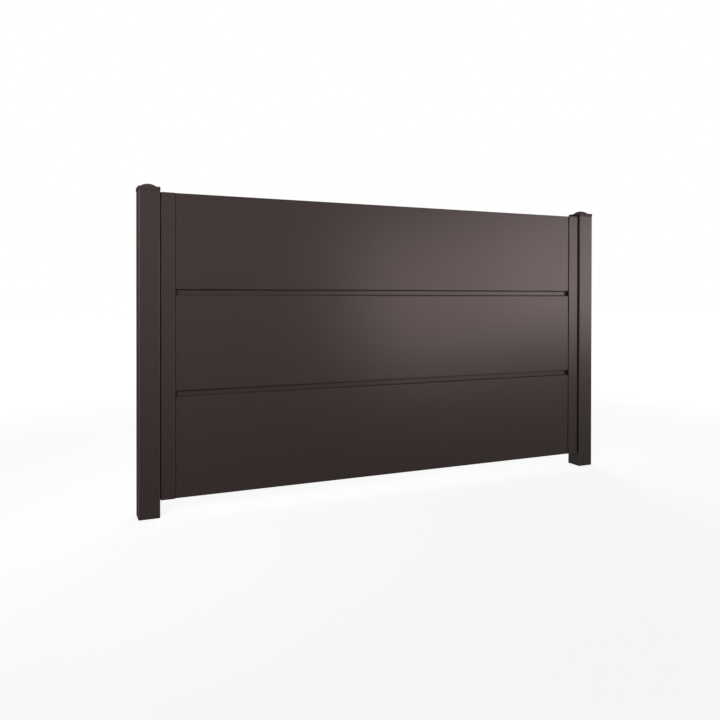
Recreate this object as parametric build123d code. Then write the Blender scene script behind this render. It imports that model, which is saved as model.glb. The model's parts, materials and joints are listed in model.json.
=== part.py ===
from build123d import *
import math
import os

os.makedirs("parts", exist_ok=True)

# X runs along the fence, Y from the front to the back, Z up from the ground. Sizes are in mm.
# Posts
POST_PITCH = 2100.0  # post centre to post centre
POST_W = 80.0
POST_RISE = 3.5  # tube above the top of the panel
POST_WALL = 2.5
POST_R = 5.0

# Post caps
CAP_OVERHANG = 1.2  # rim beyond the tube, on every side
CAP_RIM = 14.0
CAP_EDGE_R = 1.5
CAP_LEDGE = 3.2  # flat left between the edge and the foot of the dome
CAP_DOME_RISE = 14.5
CAP_HOLLOW_R = 3.0  # hollow curve at the foot of the dome
CAP_SKIN = 2.5
CAP_PLUG = 24.0  # depth of the plug in the tube
CAP_PLUG_WALL = 2.2
CAP_PLUG_CLEAR = 0.4
CAP_RIB_W = 3.0

# Panel between the posts
PANEL_CLEAR = 3.0  # gap between post and stile
PANEL_BOTTOM = 63.5  # above the ground
STILE_W = 54.5
STILE_D = 25.0
STILE_WALL = 2.0
STILE_R = 2.5
STILE_SETBACK = 10.0  # stile face behind the post face
PLUG_T = 2.5  # plug plate at a stile end
PLUG_DEPTH = 16.0
PLUG_WALL = 1.8
PLUG_CLEAR = 0.2

# Boards
BOARD_PITCH = 391.0  # height that each board covers
BOARD_D = 61.0
BOARD_PROUD = 4.0  # stile face in front of the board face
BOARD_WALL = 1.8
BOARD_EDGE_R = 3.0
GROOVE_H = 23.0  # open groove between two boards
GROOVE_D = 15.0
TOP_MARGIN = 2.0  # added to the top board
CHANNEL_DEPTH = 18.0  # how far a tongue goes up into the board above
TONGUE_CLEAR = 0.6  # on each side of a tongue
WEB_T = 1.5
WEB_COUNT = 3  # evenly spaced over the face; the first and last carry the screw ports
PORT_Y = 10.0  # screw ports behind the board face
PORT_WALL = 2.2

# End caps of the boards
END_CAP_T = 2.5
END_CAP_INSET = 1.2
COLLAR_DEPTH = 9.0
COLLAR_WALL = 1.6
COLLAR_CLEAR = 0.3
COLLAR_PORT_GAP = 4.0  # from the screw ports back to the collars

# Angle brackets
BRACKET_T = 3.0
BRACKET_H = 64.0
BRACKET_POST_LEG = 38.0
BRACKET_STILE_LEG = 46.0
BRACKET_BEND_R = 2.0
BRACKET_HOLES = 32.0  # apart, in height
BRACKET_HOLE_OUT = 23.5  # holes in the post leg, from the back of the stile

# Screws
BOARD_SCREW_D = 4.8
BOARD_SCREW_GRIP = 18.0  # length in the port
BRACKET_SCREW_D = 5.5
BRACKET_SCREW_L = 20.0
SCREW_CLEAR = 0.1  # hole over shank, in diameter
PAN_HEAD_D = 9.5
PAN_HEAD_H = 3.2
ACCESS_CLEAR = 1.0  # round a pan head, in the outer wall of a stile
HEX_HEAD_AF = 8.0
HEX_HEAD_H = 4.5
HEX_WASHER_D = 11.0
HEX_WASHER_H = 1.2

# How far a cut or a joined block runs past the face that it meets
OVERRUN = 1.0

# Positions that follow from the sizes above
post_x = POST_PITCH / 2
post_in = -post_x + POST_W / 2
stile_out = post_in + PANEL_CLEAR
stile_in = stile_out + STILE_W
board_end = stile_in + END_CAP_T
board_length = -2 * board_end
post_front = -POST_W / 2
stile_front = post_front + STILE_SETBACK
stile_back = stile_front + STILE_D
board_front = stile_front + BOARD_PROUD
board_screw_y = board_front + PORT_Y
tongue_rise = GROOVE_H + CHANNEL_DEPTH
plain_face = BOARD_PITCH - GROOVE_H
panel_top = PANEL_BOTTOM + 3 * BOARD_PITCH + TOP_MARGIN
post_h = panel_top + POST_RISE
cap_w = POST_W + 2 * CAP_OVERHANG
screw_hole = BOARD_SCREW_D + SCREW_CLEAR
access_hole = PAN_HEAD_D + 2 * ACCESS_CLEAR
collar_front = PORT_Y + screw_hole / 2 + PORT_WALL + COLLAR_PORT_GAP
bracket_hole = BRACKET_SCREW_D + SCREW_CLEAR
bracket_post_y = stile_back + BRACKET_HOLE_OUT
bracket_stile_x = stile_out + STILE_W / 2

# Each board: lower edge of the face, face height, tongue on top, channel below
boards = {
    "bottom": (PANEL_BOTTOM, BOARD_PITCH, True, False),
    "middle": (PANEL_BOTTOM + BOARD_PITCH + GROOVE_H, plain_face, True, True),
    "top": (PANEL_BOTTOM + 2 * BOARD_PITCH + GROOVE_H, plain_face + TOP_MARGIN, False, True),
}
bracket_heights = {name: low + face / 2 for name, (low, face, tongue, channel) in boards.items()}


def save(name, shape):
    shape.label = name
    export_step(shape, f"parts/{name}.step")


def rod_x(diameter, x0, x1, y, z):
    return Pos(x0, y, z) * Rot(0, 90, 0) * Cylinder(
        diameter / 2, x1 - x0, align=(Align.CENTER, Align.CENTER, Align.MIN)
    )


def rod_y(diameter, x, y0, y1, z):
    return Pos(x, y0, z) * Rot(-90, 0, 0) * Cylinder(
        diameter / 2, y1 - y0, align=(Align.CENTER, Align.CENTER, Align.MIN)
    )


def bracket_rows():
    for height in bracket_heights.values():
        for side in (-1, 1):
            yield height + side * BRACKET_HOLES / 2


def web_rows(name):
    low, face, tongue, channel = boards[name]
    return [low + face * (i + 1) / (WEB_COUNT + 1) for i in range(WEB_COUNT)]


def port_rows(name):
    rows = web_rows(name)
    return [rows[0], rows[-1]]


def port_heights():
    return [z for name in boards for z in port_rows(name)]


# Posts: square tubes, with holes in the face toward the panel
def make_post():
    inner = POST_W - 2 * POST_WALL
    ring = RectangleRounded(POST_W, POST_W, POST_R) - RectangleRounded(inner, inner, POST_R - POST_WALL)
    post = Pos(-post_x, 0, 0) * extrude(ring, post_h)
    for z in bracket_rows():
        post -= rod_x(bracket_hole, post_in - POST_WALL - OVERRUN, post_in + OVERRUN, bracket_post_y, z)
    return post


# Post caps: hollow moulding with a rim on the tube, a dome and a ribbed plug.
# The dome is a crown that turns into a small hollow curve at its foot.
def make_dome(base, radius):
    slope = 2 * math.atan2(CAP_DOME_RISE, radius)
    half = slope / 2
    crown = radius / math.sin(slope) - CAP_HOLLOW_R
    foot = (radius, base)
    top = (0, base + CAP_DOME_RISE)
    turn = (crown * math.sin(slope), base + CAP_HOLLOW_R * (1 - math.cos(slope)))
    mid_hollow = (radius - CAP_HOLLOW_R * math.sin(half), base + CAP_HOLLOW_R * (1 - math.cos(half)))
    mid_crown = (crown * math.sin(half), top[1] - crown * (1 - math.cos(half)))
    curve = [ThreePointArc(foot, mid_hollow, turn), ThreePointArc(turn, mid_crown, top)]
    body = Polyline(top, (0, base - OVERRUN), (radius, base - OVERRUN), foot)
    return revolve(Plane.XZ * make_face(curve + body.edges()), Axis.Z)


def make_cap():
    rim = extrude(RectangleRounded(cap_w, cap_w, POST_R), CAP_RIM)
    rim = fillet(rim.edges().group_by(Axis.Z)[-1], CAP_EDGE_R)
    plug_w = POST_W - 2 * POST_WALL - 2 * CAP_PLUG_CLEAR
    plug_r = POST_R - POST_WALL
    hole_w = plug_w - 2 * CAP_PLUG_WALL
    plug = Pos(0, 0, -CAP_PLUG) * extrude(RectangleRounded(plug_w, plug_w, plug_r), CAP_PLUG)
    for turn in range(4):
        for side in (-1, 1):
            rib = Pos(plug_w / 2, side * plug_w / 4, -CAP_PLUG / 2)
            rib = Rot(0, 0, 90 * turn) * rib * Box(2 * CAP_PLUG_CLEAR, CAP_RIB_W, CAP_PLUG)
            plug += rib
    cap = rim + plug + make_dome(CAP_RIM, cap_w / 2 - CAP_LEDGE)
    cap -= Pos(0, 0, -CAP_PLUG) * extrude(Rectangle(hole_w, hole_w), CAP_PLUG + CAP_RIM - CAP_SKIN)
    cap -= make_dome(CAP_RIM - CAP_SKIN, hole_w / 2 - CAP_SKIN)
    return Pos(-post_x, 0, post_h) * cap


# Boards: hollow section with a tongue that fills the back of the groove and a channel for the tongue below
def board_outline(face, tongue, channel, inset):
    slot = GROOVE_D - TONGUE_CLEAR
    front = inset
    back = BOARD_D - inset
    low = inset
    high = face - inset
    points = [(front, low)]
    if channel:
        points += [(slot - inset, low), (slot - inset, CHANNEL_DEPTH + inset)]
        points += [(BOARD_D - slot + inset, CHANNEL_DEPTH + inset), (BOARD_D - slot + inset, low)]
    points += [(back, low), (back, high)]
    if tongue:
        tip = face + tongue_rise - inset
        points += [(BOARD_D - GROOVE_D - inset, high), (BOARD_D - GROOVE_D - inset, tip)]
        points += [(GROOVE_D + inset, tip), (GROOVE_D + inset, high)]
    points += [(front, high)]
    return make_face(Polyline(*points, close=True))


def make_board(name):
    low, face, tongue, channel = boards[name]
    outer = board_outline(face, tongue, channel, 0)
    section = fillet(outer.vertices(), BOARD_EDGE_R) - board_outline(face, tongue, channel, BOARD_WALL)
    for z in web_rows(name):
        section += Pos(BOARD_D / 2, z - low) * Rectangle(BOARD_D - BOARD_WALL, WEB_T)
    for z in port_rows(name):
        section += Pos(PORT_Y, z - low) * Circle(screw_hole / 2 + PORT_WALL)
    for z in port_rows(name):
        section -= Pos(PORT_Y, z - low) * Circle(screw_hole / 2)
    return Pos(board_end, board_front, low) * extrude(Plane.YZ * section, board_length)


def make_end_cap(name):
    low, face, tongue, channel = boards[name]
    plate = board_outline(face, tongue, channel, END_CAP_INSET)
    for z in port_rows(name):
        plate -= Pos(PORT_Y, z - low) * Circle(screw_hole / 2)
    cap = extrude(Plane.YZ * plate, END_CAP_T)
    rows = web_rows(name)
    gap = rows[1] - rows[0] - WEB_T - 2 * COLLAR_CLEAR
    depth = BOARD_D - BOARD_WALL - COLLAR_CLEAR - collar_front
    ring = Rectangle(depth, gap) - Rectangle(depth - 2 * COLLAR_WALL, gap - 2 * COLLAR_WALL)
    for under, over in zip(rows, rows[1:]):
        collar = Pos(collar_front + depth / 2, (under + over) / 2 - low) * ring
        cap += Pos(END_CAP_T, 0, 0) * extrude(Plane.YZ * collar, COLLAR_DEPTH)
    return Pos(stile_in, board_front, low) * cap


# Stiles: rectangular tubes, closed by a plug at each end. Screws into the boards go in through access holes.
def stile_ring(width, depth, wall, radius):
    return RectangleRounded(width, depth, radius) - Rectangle(width - 2 * wall, depth - 2 * wall)


def make_stile():
    length = panel_top - PANEL_BOTTOM - 2 * PLUG_T
    tube = extrude(stile_ring(STILE_W, STILE_D, STILE_WALL, STILE_R), length)
    stile = Pos(stile_out + STILE_W / 2, stile_front + STILE_D / 2, PANEL_BOTTOM + PLUG_T) * tube
    for z in port_heights():
        stile -= rod_x(access_hole, stile_out - OVERRUN, stile_out + STILE_WALL + OVERRUN, board_screw_y, z)
        stile -= rod_x(screw_hole, stile_in - STILE_WALL - OVERRUN, stile_in + OVERRUN, board_screw_y, z)
    inside = stile_back - STILE_WALL - OVERRUN
    for z in bracket_rows():
        stile -= rod_y(bracket_hole, bracket_stile_x, inside, stile_back + OVERRUN, z)
    return stile


def make_plug():
    plate = extrude(RectangleRounded(STILE_W, STILE_D, STILE_R), PLUG_T)
    width = STILE_W - 2 * STILE_WALL - 2 * PLUG_CLEAR
    depth = STILE_D - 2 * STILE_WALL - 2 * PLUG_CLEAR
    ring = Rectangle(width, depth) - Rectangle(width - 2 * PLUG_WALL, depth - 2 * PLUG_WALL)
    return plate + Pos(0, 0, -PLUG_DEPTH) * extrude(ring, PLUG_DEPTH)


# Angle brackets in the pocket behind a stile
def make_bracket(height):
    outer_r = BRACKET_BEND_R + BRACKET_T
    angle = Rectangle(BRACKET_STILE_LEG, BRACKET_POST_LEG, align=Align.MIN)
    angle = fillet(angle.vertices().sort_by(lambda v: v.X + v.Y)[0], outer_r)
    space = Pos(BRACKET_T, BRACKET_T) * Rectangle(BRACKET_STILE_LEG, BRACKET_POST_LEG, align=Align.MIN)
    angle -= fillet(space.vertices().sort_by(lambda v: v.X + v.Y)[0], BRACKET_BEND_R)
    bracket = Pos(post_in, stile_back, height - BRACKET_H / 2) * extrude(angle, BRACKET_H)
    for side in (-1, 1):
        z = height + side * BRACKET_HOLES / 2
        bracket -= rod_x(bracket_hole, post_in - OVERRUN, post_in + BRACKET_T + OVERRUN, bracket_post_y, z)
        bracket -= rod_y(
            bracket_hole, bracket_stile_x, stile_back - OVERRUN, stile_back + BRACKET_T + OVERRUN, z
        )
    return bracket


# Screws, made along +Z with the underside of the head at the origin
def make_pan_screw(length):
    head = Cylinder(PAN_HEAD_D / 2, PAN_HEAD_H, align=(Align.CENTER, Align.CENTER, Align.MIN))
    head = fillet(head.edges().group_by(Axis.Z)[-1], PAN_HEAD_H / 2)
    shank = Pos(0, 0, -length) * Cylinder(
        BOARD_SCREW_D / 2, length, align=(Align.CENTER, Align.CENTER, Align.MIN)
    )
    return head + chamfer(shank.edges().group_by(Axis.Z)[0], BOARD_SCREW_D / 4)


def make_hex_screw():
    washer = Cylinder(HEX_WASHER_D / 2, HEX_WASHER_H, align=(Align.CENTER, Align.CENTER, Align.MIN))
    head = extrude(RegularPolygon(HEX_HEAD_AF / 2, 6, major_radius=False), HEX_HEAD_H)
    shank = Pos(0, 0, -BRACKET_SCREW_L) * Cylinder(
        BRACKET_SCREW_D / 2, BRACKET_SCREW_L, align=(Align.CENTER, Align.CENTER, Align.MIN)
    )
    return washer + head + chamfer(shank.edges().group_by(Axis.Z)[0], BRACKET_SCREW_D / 4)


def both_sides(shapes):
    return Compound(children=[s for shape in shapes for s in (shape, mirror(shape, about=Plane.YZ))])


def save_pair(name, shape):
    save(f"left_{name}", shape)
    save(f"right_{name}", mirror(shape, about=Plane.YZ))


save_pair("post", make_post())
save_pair("post_cap", make_cap())
save_pair("stile", make_stile())
plug = make_plug()
plug_y = stile_front + STILE_D / 2
save_pair("stile_top_plug", Pos(bracket_stile_x, plug_y, panel_top - PLUG_T) * plug)
save_pair("stile_bottom_plug", Pos(bracket_stile_x, plug_y, PANEL_BOTTOM + PLUG_T) * Rot(180, 0, 0) * plug)
for board_name in boards:
    save(f"{board_name}_board", make_board(board_name))
    save_pair(f"{board_name}_board_end_cap", make_end_cap(board_name))
    save_pair(f"{board_name}_bracket", make_bracket(bracket_heights[board_name]))

pan = make_pan_screw(STILE_WALL + END_CAP_T + BOARD_SCREW_GRIP)
hex_screw = make_hex_screw()
board_seats = [Pos(stile_in - STILE_WALL, board_screw_y, z) * Rot(0, -90, 0) for z in port_heights()]
save("board_screws", both_sides([seat * pan for seat in board_seats]))
post_seats = [Pos(post_in + BRACKET_T, bracket_post_y, z) * Rot(0, 90, 0) for z in bracket_rows()]
save("bracket_post_screws", both_sides([seat * hex_screw for seat in post_seats]))
stile_seats = [Pos(bracket_stile_x, stile_back + BRACKET_T, z) * Rot(-90, 0, 0) for z in bracket_rows()]
save("bracket_stile_screws", both_sides([seat * hex_screw for seat in stile_seats]))
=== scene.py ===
import json
import math

import bpy
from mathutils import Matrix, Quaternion, Vector


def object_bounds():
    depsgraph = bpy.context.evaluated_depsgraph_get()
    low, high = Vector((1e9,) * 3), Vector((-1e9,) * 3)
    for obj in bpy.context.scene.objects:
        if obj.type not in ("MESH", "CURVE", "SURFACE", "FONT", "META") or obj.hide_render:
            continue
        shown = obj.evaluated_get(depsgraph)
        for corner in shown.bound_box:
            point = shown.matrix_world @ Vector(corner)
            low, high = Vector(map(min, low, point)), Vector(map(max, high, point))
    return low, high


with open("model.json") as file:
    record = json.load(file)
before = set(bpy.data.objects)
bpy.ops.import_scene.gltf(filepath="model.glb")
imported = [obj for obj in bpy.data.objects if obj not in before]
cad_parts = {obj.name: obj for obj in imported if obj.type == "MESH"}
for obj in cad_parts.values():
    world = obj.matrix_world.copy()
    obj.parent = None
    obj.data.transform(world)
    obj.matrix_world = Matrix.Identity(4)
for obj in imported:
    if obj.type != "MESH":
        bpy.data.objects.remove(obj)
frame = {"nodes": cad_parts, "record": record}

cadBox = [list(corner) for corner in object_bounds()]
nodes = frame["nodes"]
slotOf = {part["node"]: part["material_slot"] for part in frame["record"]["subparts"]}
scene = bpy.context.scene
print("frame loaded,", len(nodes), "nodes")

colourSocket = "NodeSocketColor"
valueSocket = "NodeSocketFloat"


# small helpers for colours and node trees
def shade(colour, share=1.0):
    return (*[channel * share for channel in colour], 1)


def grey(level):
    return (level, level, level, 1)


def addNode(tree, kind, place, inputs=None, **values):
    node = tree.nodes.new(kind)
    node.location = place
    for key, value in values.items():
        setattr(node, key, value)
    for label, value in (inputs or {}).items():
        node.inputs[label].default_value = value
    return node


def link(tree, source, target):
    tree.links.new(source, target)


def addMath(tree, operation, place, *sources):
    node = addNode(tree, "ShaderNodeMath", place, operation=operation)
    for socket, source in zip(node.inputs, sources):
        if isinstance(source, float):
            socket.default_value = source
        else:
            link(tree, source, socket)
    return node.outputs[0]


def addRange(tree, place, source, inputs, smooth=True):
    curve = "SMOOTHSTEP" if smooth else "LINEAR"
    node = addNode(tree, "ShaderNodeMapRange", place, inputs, interpolation_type=curve)
    link(tree, source, node.inputs["Value"])
    return node.outputs["Result"]


def addNoise(tree, place, **inputs):
    coords = addNode(tree, "ShaderNodeTexCoord", (place[0] - 200, place[1]))
    noise = addNode(tree, "ShaderNodeTexNoise", place, inputs)
    link(tree, coords.outputs["Object"], noise.inputs["Vector"])
    return noise


def addNormal(tree, place):
    geometry = addNode(tree, "ShaderNodeNewGeometry", (place[0] - 200, place[1]))
    split = addNode(tree, "ShaderNodeSeparateXYZ", place)
    link(tree, geometry.outputs["Normal"], split.inputs[0])
    return split


def newGroup(name, inputs, outputs):
    group = bpy.data.node_groups.new(name, "ShaderNodeTree")
    for label, kind in inputs.items():
        group.interface.new_socket(label, in_out="INPUT", socket_type=kind)
    for label, kind in outputs.items():
        group.interface.new_socket(label, in_out="OUTPUT", socket_type=kind)
    start = addNode(group, "NodeGroupInput", (-900, 0))
    end = addNode(group, "NodeGroupOutput", (900, 0))
    return group, start, end


# lays a second colour over the coat where the mask is set
def coverCoat(group, start, end, cover, mask):
    blend = addNode(group, "ShaderNodeMix", (400, 0), data_type="RGBA")
    link(group, mask, blend.inputs["Factor"])
    link(group, start.outputs["Coat"], blend.inputs["A"])
    link(group, start.outputs[cover], blend.inputs["B"])
    link(group, blend.outputs["Result"], end.inputs["Color"])


# orange peel: the shallow ripple of a sprayed coat, with a fine speckle on it and slow clouds of sheen
peelLook = {
    "rippleDetail": 2.0,
    "speckleDetail": 1.0,
    "speckleShare": 0.35,  # of the speckle in the height, the rest is ripple
    "cloudScale": 2.6,
    "cloudDetail": 3.0,
    "cloudMiddle": 0.5,  # mean of the cloud noise
}


def makeOrangePeel():
    group, start, end = newGroup(
        "orangePeel",
        {"Ripple": valueSocket, "Speckle": valueSocket, "Rough": valueSocket, "RoughSpread": valueSocket},
        {"Height": valueSocket, "Roughness": valueSocket, "Grain": valueSocket},
    )
    ripple = addNoise(group, (-600, 200), Detail=peelLook["rippleDetail"])
    speckle = addNoise(group, (-600, -50), Detail=peelLook["speckleDetail"])
    cloud = addNoise(group, (-600, -300), Scale=peelLook["cloudScale"], Detail=peelLook["cloudDetail"])
    link(group, start.outputs["Ripple"], ripple.inputs["Scale"])
    link(group, start.outputs["Speckle"], speckle.inputs["Scale"])
    share = {"Factor": peelLook["speckleShare"]}
    height = addNode(group, "ShaderNodeMix", (-300, 100), share, data_type="FLOAT")
    link(group, ripple.outputs["Fac"], height.inputs["A"])
    link(group, speckle.outputs["Fac"], height.inputs["B"])
    centred = addMath(group, "SUBTRACT", (-300, -250), cloud.outputs["Fac"], peelLook["cloudMiddle"])
    spread, rough = start.outputs["RoughSpread"], start.outputs["Rough"]
    sheen = addMath(group, "MULTIPLY_ADD", (-50, -250), centred, spread, rough)
    link(group, height.outputs["Result"], end.inputs["Height"])
    link(group, sheen, end.inputs["Roughness"])
    link(group, speckle.outputs["Fac"], end.inputs["Grain"])
    return group


# settled dust: a thin pale film on faces that look up
dustLook = {
    "colour": (0.16, 0.145, 0.13),
    "upFrom": 0.35,  # upward part of the face's normal where the film starts and where it is full
    "upTo": 0.95,
    "patchScale": 38.0,
    "patchDetail": 5.0,
}


def makeSettledDust():
    group, start, end = newGroup(
        "settledDust",
        {"Coat": colourSocket, "Dust": colourSocket, "Amount": valueSocket},
        {"Color": colourSocket},
    )
    normal = addNormal(group, (-700, -250))
    limits = {"From Min": dustLook["upFrom"], "From Max": dustLook["upTo"]}
    facing = addRange(group, (-500, -250), normal.outputs["Z"], limits, smooth=False)
    patch = addNoise(group, (-700, -500), Scale=dustLook["patchScale"], Detail=dustLook["patchDetail"])
    broken = addMath(group, "MULTIPLY", (-300, -350), facing, patch.outputs["Fac"])
    film = addMath(group, "MULTIPLY", (-100, -350), broken, start.outputs["Amount"])
    coverCoat(group, start, end, "Dust", film)
    return group


# corner highlight: upright rounded corners are a little paler, a painted highlight where the rounding would
# catch the light
cornerHighlightLook = {
    "turnFrom": 0.05,  # product of the normal's two level parts, half where the face turns 45 degrees
    "turnTo": 0.35,
    "patchScale": 24.0,
    "patchDetail": 4.0,
    "patchFrom": 0.25,
    "patchTo": 0.75,
    "leastHighlight": 0.75,
}


def makeCornerHighlight():
    group, start, end = newGroup(
        "cornerHighlight",
        {"Coat": colourSocket, "Highlight": colourSocket},
        {"Color": colourSocket},
    )
    normal = addNormal(group, (-700, -250))
    product = addMath(group, "MULTIPLY", (-500, -250), normal.outputs["X"], normal.outputs["Y"])
    turned = addMath(group, "ABSOLUTE", (-300, -250), product)
    turnLimits = {"From Min": cornerHighlightLook["turnFrom"], "From Max": cornerHighlightLook["turnTo"]}
    corner = addRange(group, (-100, -250), turned, turnLimits)
    patch = addNoise(group, (-700, -550), Scale=cornerHighlightLook["patchScale"], Detail=cornerHighlightLook["patchDetail"])
    patchLimits = {
        "From Min": cornerHighlightLook["patchFrom"],
        "From Max": cornerHighlightLook["patchTo"],
        "To Min": cornerHighlightLook["leastHighlight"],
    }
    patchy = addRange(group, (-400, -550), patch.outputs["Fac"], patchLimits, smooth=False)
    mask = addMath(group, "MULTIPLY", (100, -350), corner, patchy)
    coverCoat(group, start, end, "Highlight", mask)
    return group


# crevice shade: painted shade, the coat is darker and matt in the seams and inner corners, where ambient
# occlusion finds them hidden from light
creviceShadeLook = {
    "reach": 0.007,  # how far from the inner corner it spreads, in metres
    "samples": 8,
    "openFrom": 0.92,  # openness where the painted shade starts and where it is full
    "openTo": 0.5,
}


def makeCreviceShade():
    group, start, end = newGroup(
        "creviceShade",
        {"Coat": colourSocket, "PaintedShade": colourSocket},
        {"Color": colourSocket, "Mask": valueSocket},
    )
    reach = {"Distance": creviceShadeLook["reach"]}
    hidden = addNode(group, "ShaderNodeAmbientOcclusion", (-600, -250), reach, samples=creviceShadeLook["samples"])
    limits = {"From Min": creviceShadeLook["openFrom"], "From Max": creviceShadeLook["openTo"]}
    seam = addRange(group, (-300, -250), hidden.outputs["AO"], limits)
    coverCoat(group, start, end, "PaintedShade", seam)
    link(group, seam, end.inputs["Mask"])
    return group


orangePeel = makeOrangePeel()
settledDust = makeSettledDust()
cornerHighlight = makeCornerHighlight()
creviceShade = makeCreviceShade()
print("shader groups built")


def emptyMaterial(name):
    material = bpy.data.materials.new(name)
    material.use_nodes = True
    material.node_tree.nodes.clear()
    return material, material.node_tree


# the speckle's range that goes from the darker to the lighter grains
grainRange = (0.3, 0.7)


# speckled colour, then the painted corner highlight, the painted seam shade and dust laid over it
def makeColour(tree, look, speckle, highlight, seamShade, dust):
    ramp = addNode(tree, "ShaderNodeValToRGB", (-50, 150))
    shares = (1 - look["grain"], 1 + look["grain"])
    for element, place, share in zip(ramp.color_ramp.elements, grainRange, shares):
        element.position = place
        element.color = shade(look["colour"], share)
    link(tree, speckle, ramp.inputs["Fac"])
    link(tree, ramp.outputs["Color"], highlight.inputs["Coat"])
    link(tree, highlight.outputs["Color"], seamShade.inputs["Coat"])
    link(tree, seamShade.outputs["Color"], dust.inputs["Coat"])
    return dust.outputs["Color"]


# the sheen of the coat, which scatters more where it is seen edge on and is matt in the seams under the
# painted shade mask
def makeSheen(tree, look, rough, shadeMask):
    edge = addNode(tree, "ShaderNodeLayerWeight", (-300, -550))
    limits = {"From Min": look["edgeFrom"], "From Max": look["edgeTo"]}
    grazing = addRange(tree, (-50, -550), edge.outputs["Facing"], limits, smooth=False)
    scatter = addNode(tree, "ShaderNodeMix", (300, -550), data_type="FLOAT")
    scatter.inputs["B"].default_value = look["edgeRough"]
    link(tree, grazing, scatter.inputs["Factor"])
    link(tree, rough, scatter.inputs["A"])
    shadeMatt = addNode(tree, "ShaderNodeMix", (450, -550), data_type="FLOAT")
    shadeMatt.inputs["B"].default_value = look["seamRough"]
    link(tree, shadeMask, shadeMatt.inputs["Factor"])
    link(tree, scatter.outputs["Result"], shadeMatt.inputs["A"])
    return shadeMatt.outputs["Result"]


# one finish: colour, sheen and the bump of its ripple
def makeFinish(name, look):
    material, tree = emptyMaterial(name)
    out = addNode(tree, "ShaderNodeOutputMaterial", (900, 0))
    shader = addNode(tree, "ShaderNodeBsdfPrincipled", (600, 0), distribution="GGX")
    shader.inputs["Metallic"].default_value = look["metallic"]
    shader.inputs["Specular IOR Level"].default_value = look["specular"]
    shader.inputs["Specular Tint"].default_value = shade(look["tint"])
    peelInputs = {
        "Ripple": look["ripple"],
        "Speckle": look["speckle"],
        "Rough": look["rough"],
        "RoughSpread": look["roughSpread"],
    }
    peel = addNode(tree, "ShaderNodeGroup", (-300, -200), peelInputs, node_tree=orangePeel)
    # painted highlight: upright rounded corners take the coat's colour made paler by edgeLift
    highlightInputs = {"Highlight": shade(look["colour"], look["edgeLift"])}
    highlight = addNode(tree, "ShaderNodeGroup", (200, 150), highlightInputs, node_tree=cornerHighlight)
    # painted shade: seams and inner corners take the coat's colour darkened by seamDark where the ambient
    # occlusion is low
    seamShadeInputs = {"PaintedShade": shade(look["colour"], look["seamDark"])}
    seamShade = addNode(tree, "ShaderNodeGroup", (300, 150), seamShadeInputs, node_tree=creviceShade)
    dustInputs = {"Dust": shade(dustLook["colour"]), "Amount": look["dust"]}
    dust = addNode(tree, "ShaderNodeGroup", (400, 150), dustInputs, node_tree=settledDust)
    colour = makeColour(tree, look, peel.outputs["Grain"], highlight, seamShade, dust)
    sheen = makeSheen(tree, look, peel.outputs["Roughness"], seamShade.outputs["Mask"])
    depth = {"Strength": look["bump"], "Distance": look["bumpDepth"]}
    bump = addNode(tree, "ShaderNodeBump", (300, -300), depth)
    link(tree, peel.outputs["Height"], bump.inputs["Height"])
    link(tree, colour, shader.inputs["Base Color"])
    link(tree, sheen, shader.inputs["Roughness"])
    link(tree, bump.outputs["Normal"], shader.inputs["Normal"])
    link(tree, shader.outputs["BSDF"], out.inputs["Surface"])
    return material


# finishes: ripple and speckle are noise scales, bumpDepth is in metres, edgeFrom and edgeTo go from 0,
# square on, to 1, edge on, edgeLift multiplies the colour into a painted highlight on upright corners and
# seamDark into painted shade in the seams
powderCoat = {
    "colour": (0.041, 0.0312, 0.0297), "grain": 0.11, "metallic": 0.0,
    "specular": 0.15, "tint": (1.0, 0.78, 0.75),
    "ripple": 420.0, "speckle": 1500.0, "bump": 0.20, "bumpDepth": 0.00012,
    "rough": 0.30, "roughSpread": 0.02, "edgeFrom": 0.55, "edgeTo": 0.92, "edgeRough": 1.0,
    "edgeLift": 1.9, "seamDark": 0.15, "seamRough": 0.9, "dust": 0.04,
}
capPlastic = {
    "colour": (0.045, 0.0345, 0.0330), "grain": 0.10, "metallic": 0.0,
    "specular": 0.05, "tint": (1.0, 0.80, 0.77),
    "ripple": 1500.0, "speckle": 4200.0, "bump": 0.20, "bumpDepth": 0.0001,
    "rough": 0.44, "roughSpread": 0.05, "edgeFrom": 0.55, "edgeTo": 0.92, "edgeRough": 1.0,
    "edgeLift": 1.2, "seamDark": 0.35, "seamRough": 0.9, "dust": 0.04,
}
darkPlastic = {
    "colour": (0.016, 0.014, 0.0135), "grain": 0.10, "metallic": 0.0,
    "specular": 0.3, "tint": (1.0, 1.0, 1.0),
    "ripple": 1500.0, "speckle": 4200.0, "bump": 0.20, "bumpDepth": 0.0001,
    "rough": 0.55, "roughSpread": 0.05, "edgeFrom": 0.55, "edgeTo": 0.92, "edgeRough": 1.0,
    "edgeLift": 1.2, "seamDark": 0.35, "seamRough": 0.9, "dust": 0.05,
}
zincPlate = {
    "colour": (0.42, 0.41, 0.39), "grain": 0.12, "metallic": 1.0,
    "specular": 0.5, "tint": (1.0, 1.0, 1.0),
    "ripple": 900.0, "speckle": 2600.0, "bump": 0.05, "bumpDepth": 0.0002,
    "rough": 0.38, "roughSpread": 0.12, "edgeFrom": 0.8, "edgeTo": 1.0, "edgeRough": 0.45,
    "edgeLift": 1.0, "seamDark": 0.4, "seamRough": 0.9, "dust": 0.05,
}
finishes = {
    "coated_metal": makeFinish("powderCoat", powderCoat),
    "cap_plastic": makeFinish("capPlastic", capPlastic),
    "dark_plastic": makeFinish("darkPlastic", darkPlastic),
    "screw_steel": makeFinish("zincPlate", zincPlate),
}
for name, node in nodes.items():
    node.data.materials.clear()
    node.data.materials.append(finishes[slotOf[name]])
print("finishes assigned")


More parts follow.
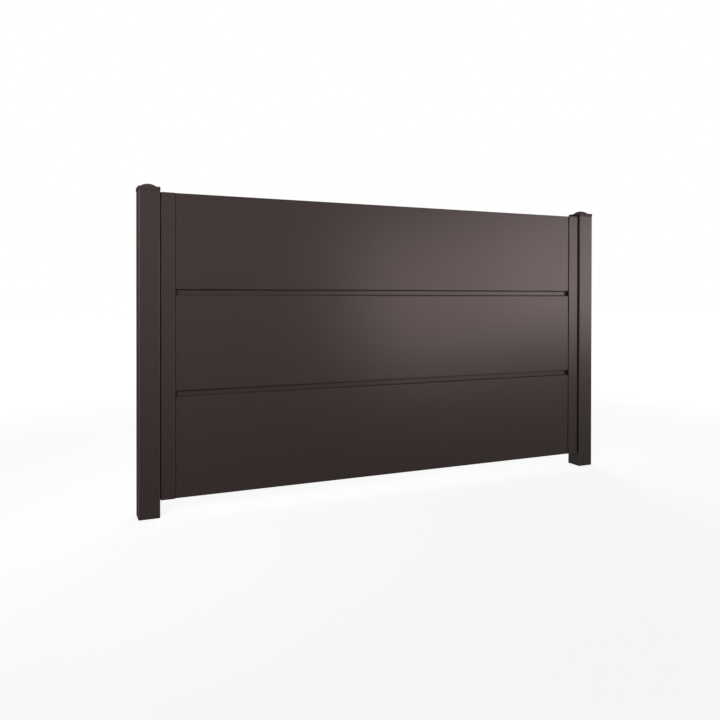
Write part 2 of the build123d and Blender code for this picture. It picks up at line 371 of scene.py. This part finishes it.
# floor and white surroundings: the floor brightens to nearly plain white away from the panel
studio = {
    "floorSize": 60.0,
    "floorDrop": 0.0003,  # keeps the floor just clear of the posts' feet
    "floorColour": 0.3,
    "liftNear": 0.84,  # glow of the floor near the panel and far from it
    "liftFar": 0.97,
    "fadeFrom": 1.6,  # metres from the middle of the panel
    "fadeTo": 4.5,
    "surround": 0.26,  # light from all round
}


# 1 for camera, glossy and see-through rays, 0 for the light that falls on the panel
def seenDirectly(tree, place):
    path = addNode(tree, "ShaderNodeLightPath", (place[0] - 400, place[1]))
    camera, gloss = path.outputs["Is Camera Ray"], path.outputs["Is Glossy Ray"]
    first = addMath(tree, "MAXIMUM", (place[0] - 200, place[1]), camera, gloss)
    return addMath(tree, "MAXIMUM", place, first, path.outputs["Is Transmission Ray"])


def makeFloor():
    half = studio["floorSize"] / 2
    corners = [(-half, -half, 0), (half, -half, 0), (half, half, 0), (-half, half, 0)]
    mesh = bpy.data.meshes.new("floor")
    mesh.from_pydata(corners, [], [(0, 1, 2, 3)])
    floor = bpy.data.objects.new("floor", mesh)
    floor.location.z = -studio["floorDrop"]
    scene.collection.objects.link(floor)
    material, tree = emptyMaterial("paleFloor")
    out = addNode(tree, "ShaderNodeOutputMaterial", (600, 0))
    matt = addNode(tree, "ShaderNodeBsdfDiffuse", (0, 100), {"Color": grey(studio["floorColour"])})
    coords = addNode(tree, "ShaderNodeTexCoord", (-900, -400))
    distance = addNode(tree, "ShaderNodeVectorMath", (-700, -400), operation="LENGTH")
    link(tree, coords.outputs["Object"], distance.inputs[0])
    fadeLimits = {
        "From Min": studio["fadeFrom"],
        "From Max": studio["fadeTo"],
        "To Min": studio["liftNear"],
        "To Max": studio["liftFar"],
    }
    fade = addRange(tree, (-500, -400), distance.outputs["Value"], fadeLimits)
    lift = addMath(tree, "MULTIPLY", (-200, -200), seenDirectly(tree, (-500, -150)), fade)
    glow = addNode(tree, "ShaderNodeEmission", (0, -100))
    link(tree, lift, glow.inputs["Strength"])
    both = addNode(tree, "ShaderNodeAddShader", (300, 0))
    link(tree, matt.outputs[0], both.inputs[0])
    link(tree, glow.outputs[0], both.inputs[1])
    link(tree, both.outputs[0], out.inputs["Surface"])
    mesh.materials.append(material)


def makeSurround():
    world = bpy.data.worlds.new("studio")
    scene.world = world
    world.use_nodes = True
    tree = world.node_tree
    tree.nodes.clear()
    out = addNode(tree, "ShaderNodeOutputWorld", (600, 0))
    backdrop = addNode(tree, "ShaderNodeBackground", (0, 100), {"Color": grey(1.0)})
    light = addNode(tree, "ShaderNodeBackground", (0, -100), {"Color": grey(studio["surround"])})
    mix = addNode(tree, "ShaderNodeMixShader", (300, 0))
    link(tree, seenDirectly(tree, (-200, 300)), mix.inputs[0])
    link(tree, light.outputs[0], mix.inputs[1])
    link(tree, backdrop.outputs[0], mix.inputs[2])
    link(tree, mix.outputs[0], out.inputs["Surface"])


# dark card beside the left post: only reflections see it, so the post's outer side stays dark
# where it is seen edge on. gap is from the post and rise above the caps, in metres
darkCard = {"gap": 0.41, "front": -0.1, "back": 2.6, "low": 0.02, "rise": 0.33, "colour": 0.01}


def makeDarkCard():
    across = cadBox[0][0] - darkCard["gap"]
    top = cadBox[1][2] + darkCard["rise"]
    depths = (darkCard["front"], darkCard["back"])
    corners = [(across, y, z) for z in (darkCard["low"], top) for y in depths]
    mesh = bpy.data.meshes.new("darkCard")
    mesh.from_pydata(corners, [], [(0, 1, 3, 2)])
    card = bpy.data.objects.new("darkCard", mesh)
    card.visible_camera = False
    card.visible_diffuse = False
    card.visible_transmission = False
    card.visible_shadow = False
    scene.collection.objects.link(card)
    material, tree = emptyMaterial("blackFelt")
    out = addNode(tree, "ShaderNodeOutputMaterial", (300, 0))
    felt = addNode(tree, "ShaderNodeBsdfDiffuse", (0, 0), {"Color": grey(darkCard["colour"])})
    link(tree, felt.outputs[0], out.inputs["Surface"])
    mesh.materials.append(material)


makeFloor()
makeSurround()
makeDarkCard()
print("floor, surround and dark card set")

# soft boxes: where they stand, where they point, size in metres, power in watts, beam and roll in degrees
softBoxes = {
    "rightBox": {
        "place": (2.45, -2.9, 1.07), "aim": (1.2, 0.0, 1.45), "size": (2.7, 1.4),
        "power": 7.1, "beam": 52.0, "roll": 7.0,
    },
    "slantBox": {
        "place": (2.6, -2.9, 1.0), "aim": (1.3, 0.0, 1.4), "size": (2.5, 1.2),
        "power": 4.0, "beam": 52.0, "roll": 20.0,
    },
    "edgeBox": {
        "place": (3.3, -2.4, 1.1), "aim": (1.0, 0.0, 1.4), "size": (1.6, 1.2),
        "power": 3.6, "beam": 50.0, "roll": 0.0,
    },
    "leftFill": {
        "place": (-2.4, -2.2, 1.6), "aim": (-1.0, 0.0, 1.1), "size": (0.9, 1.2),
        "power": 11.0, "beam": 70.0, "roll": 0.0,
    },
    "backFill": {
        "place": (1.4, 3.2, 1.5), "aim": (0.1, 0.0, 0.8), "size": (2.4, 1.4),
        "power": 16.0, "beam": 75.0, "roll": 0.0,
    },
}


def makeSoftBox(name, box):
    lamp = bpy.data.lights.new(name, "AREA")
    lamp.shape = "RECTANGLE"
    lamp.size, lamp.size_y = box["size"]
    lamp.energy = box["power"]
    lamp.spread = math.radians(box["beam"])
    stand = bpy.data.objects.new(name, lamp)
    stand.location = box["place"]
    facing = (Vector(box["aim"]) - Vector(box["place"])).to_track_quat("-Z", "Y")
    turn = Quaternion((0, 0, 1), math.radians(box["roll"]))
    stand.rotation_euler = (facing @ turn).to_euler()
    scene.collection.objects.link(stand)


for name, box in softBoxes.items():
    makeSoftBox(name, box)
print("soft boxes set")

# camera: nearly level, turned toward the right post, framed by shift
cameraSetup = {
    "place": (-1.3606, -2.6844, 0.8413),
    "turn": 23.211, "pitch": 0.301, "roll": -0.061,
    "lens": 33.903, "sensor": 36.0, "shift": (0.0133, -0.0832),
}
lens = bpy.data.cameras.new("view")
lens.sensor_width = cameraSetup["sensor"]
lens.lens = cameraSetup["lens"]
lens.shift_x, lens.shift_y = cameraSetup["shift"]
camera = bpy.data.objects.new("view", lens)
camera.location = cameraSetup["place"]
tilt = (90 - cameraSetup["pitch"], cameraSetup["roll"], -cameraSetup["turn"])
camera.rotation_euler = [math.radians(angle) for angle in tilt]
scene.collection.objects.link(camera)
scene.camera = camera
scene.view_settings.view_transform = "Standard"
print("camera set")

bpy.context.view_layer.update()
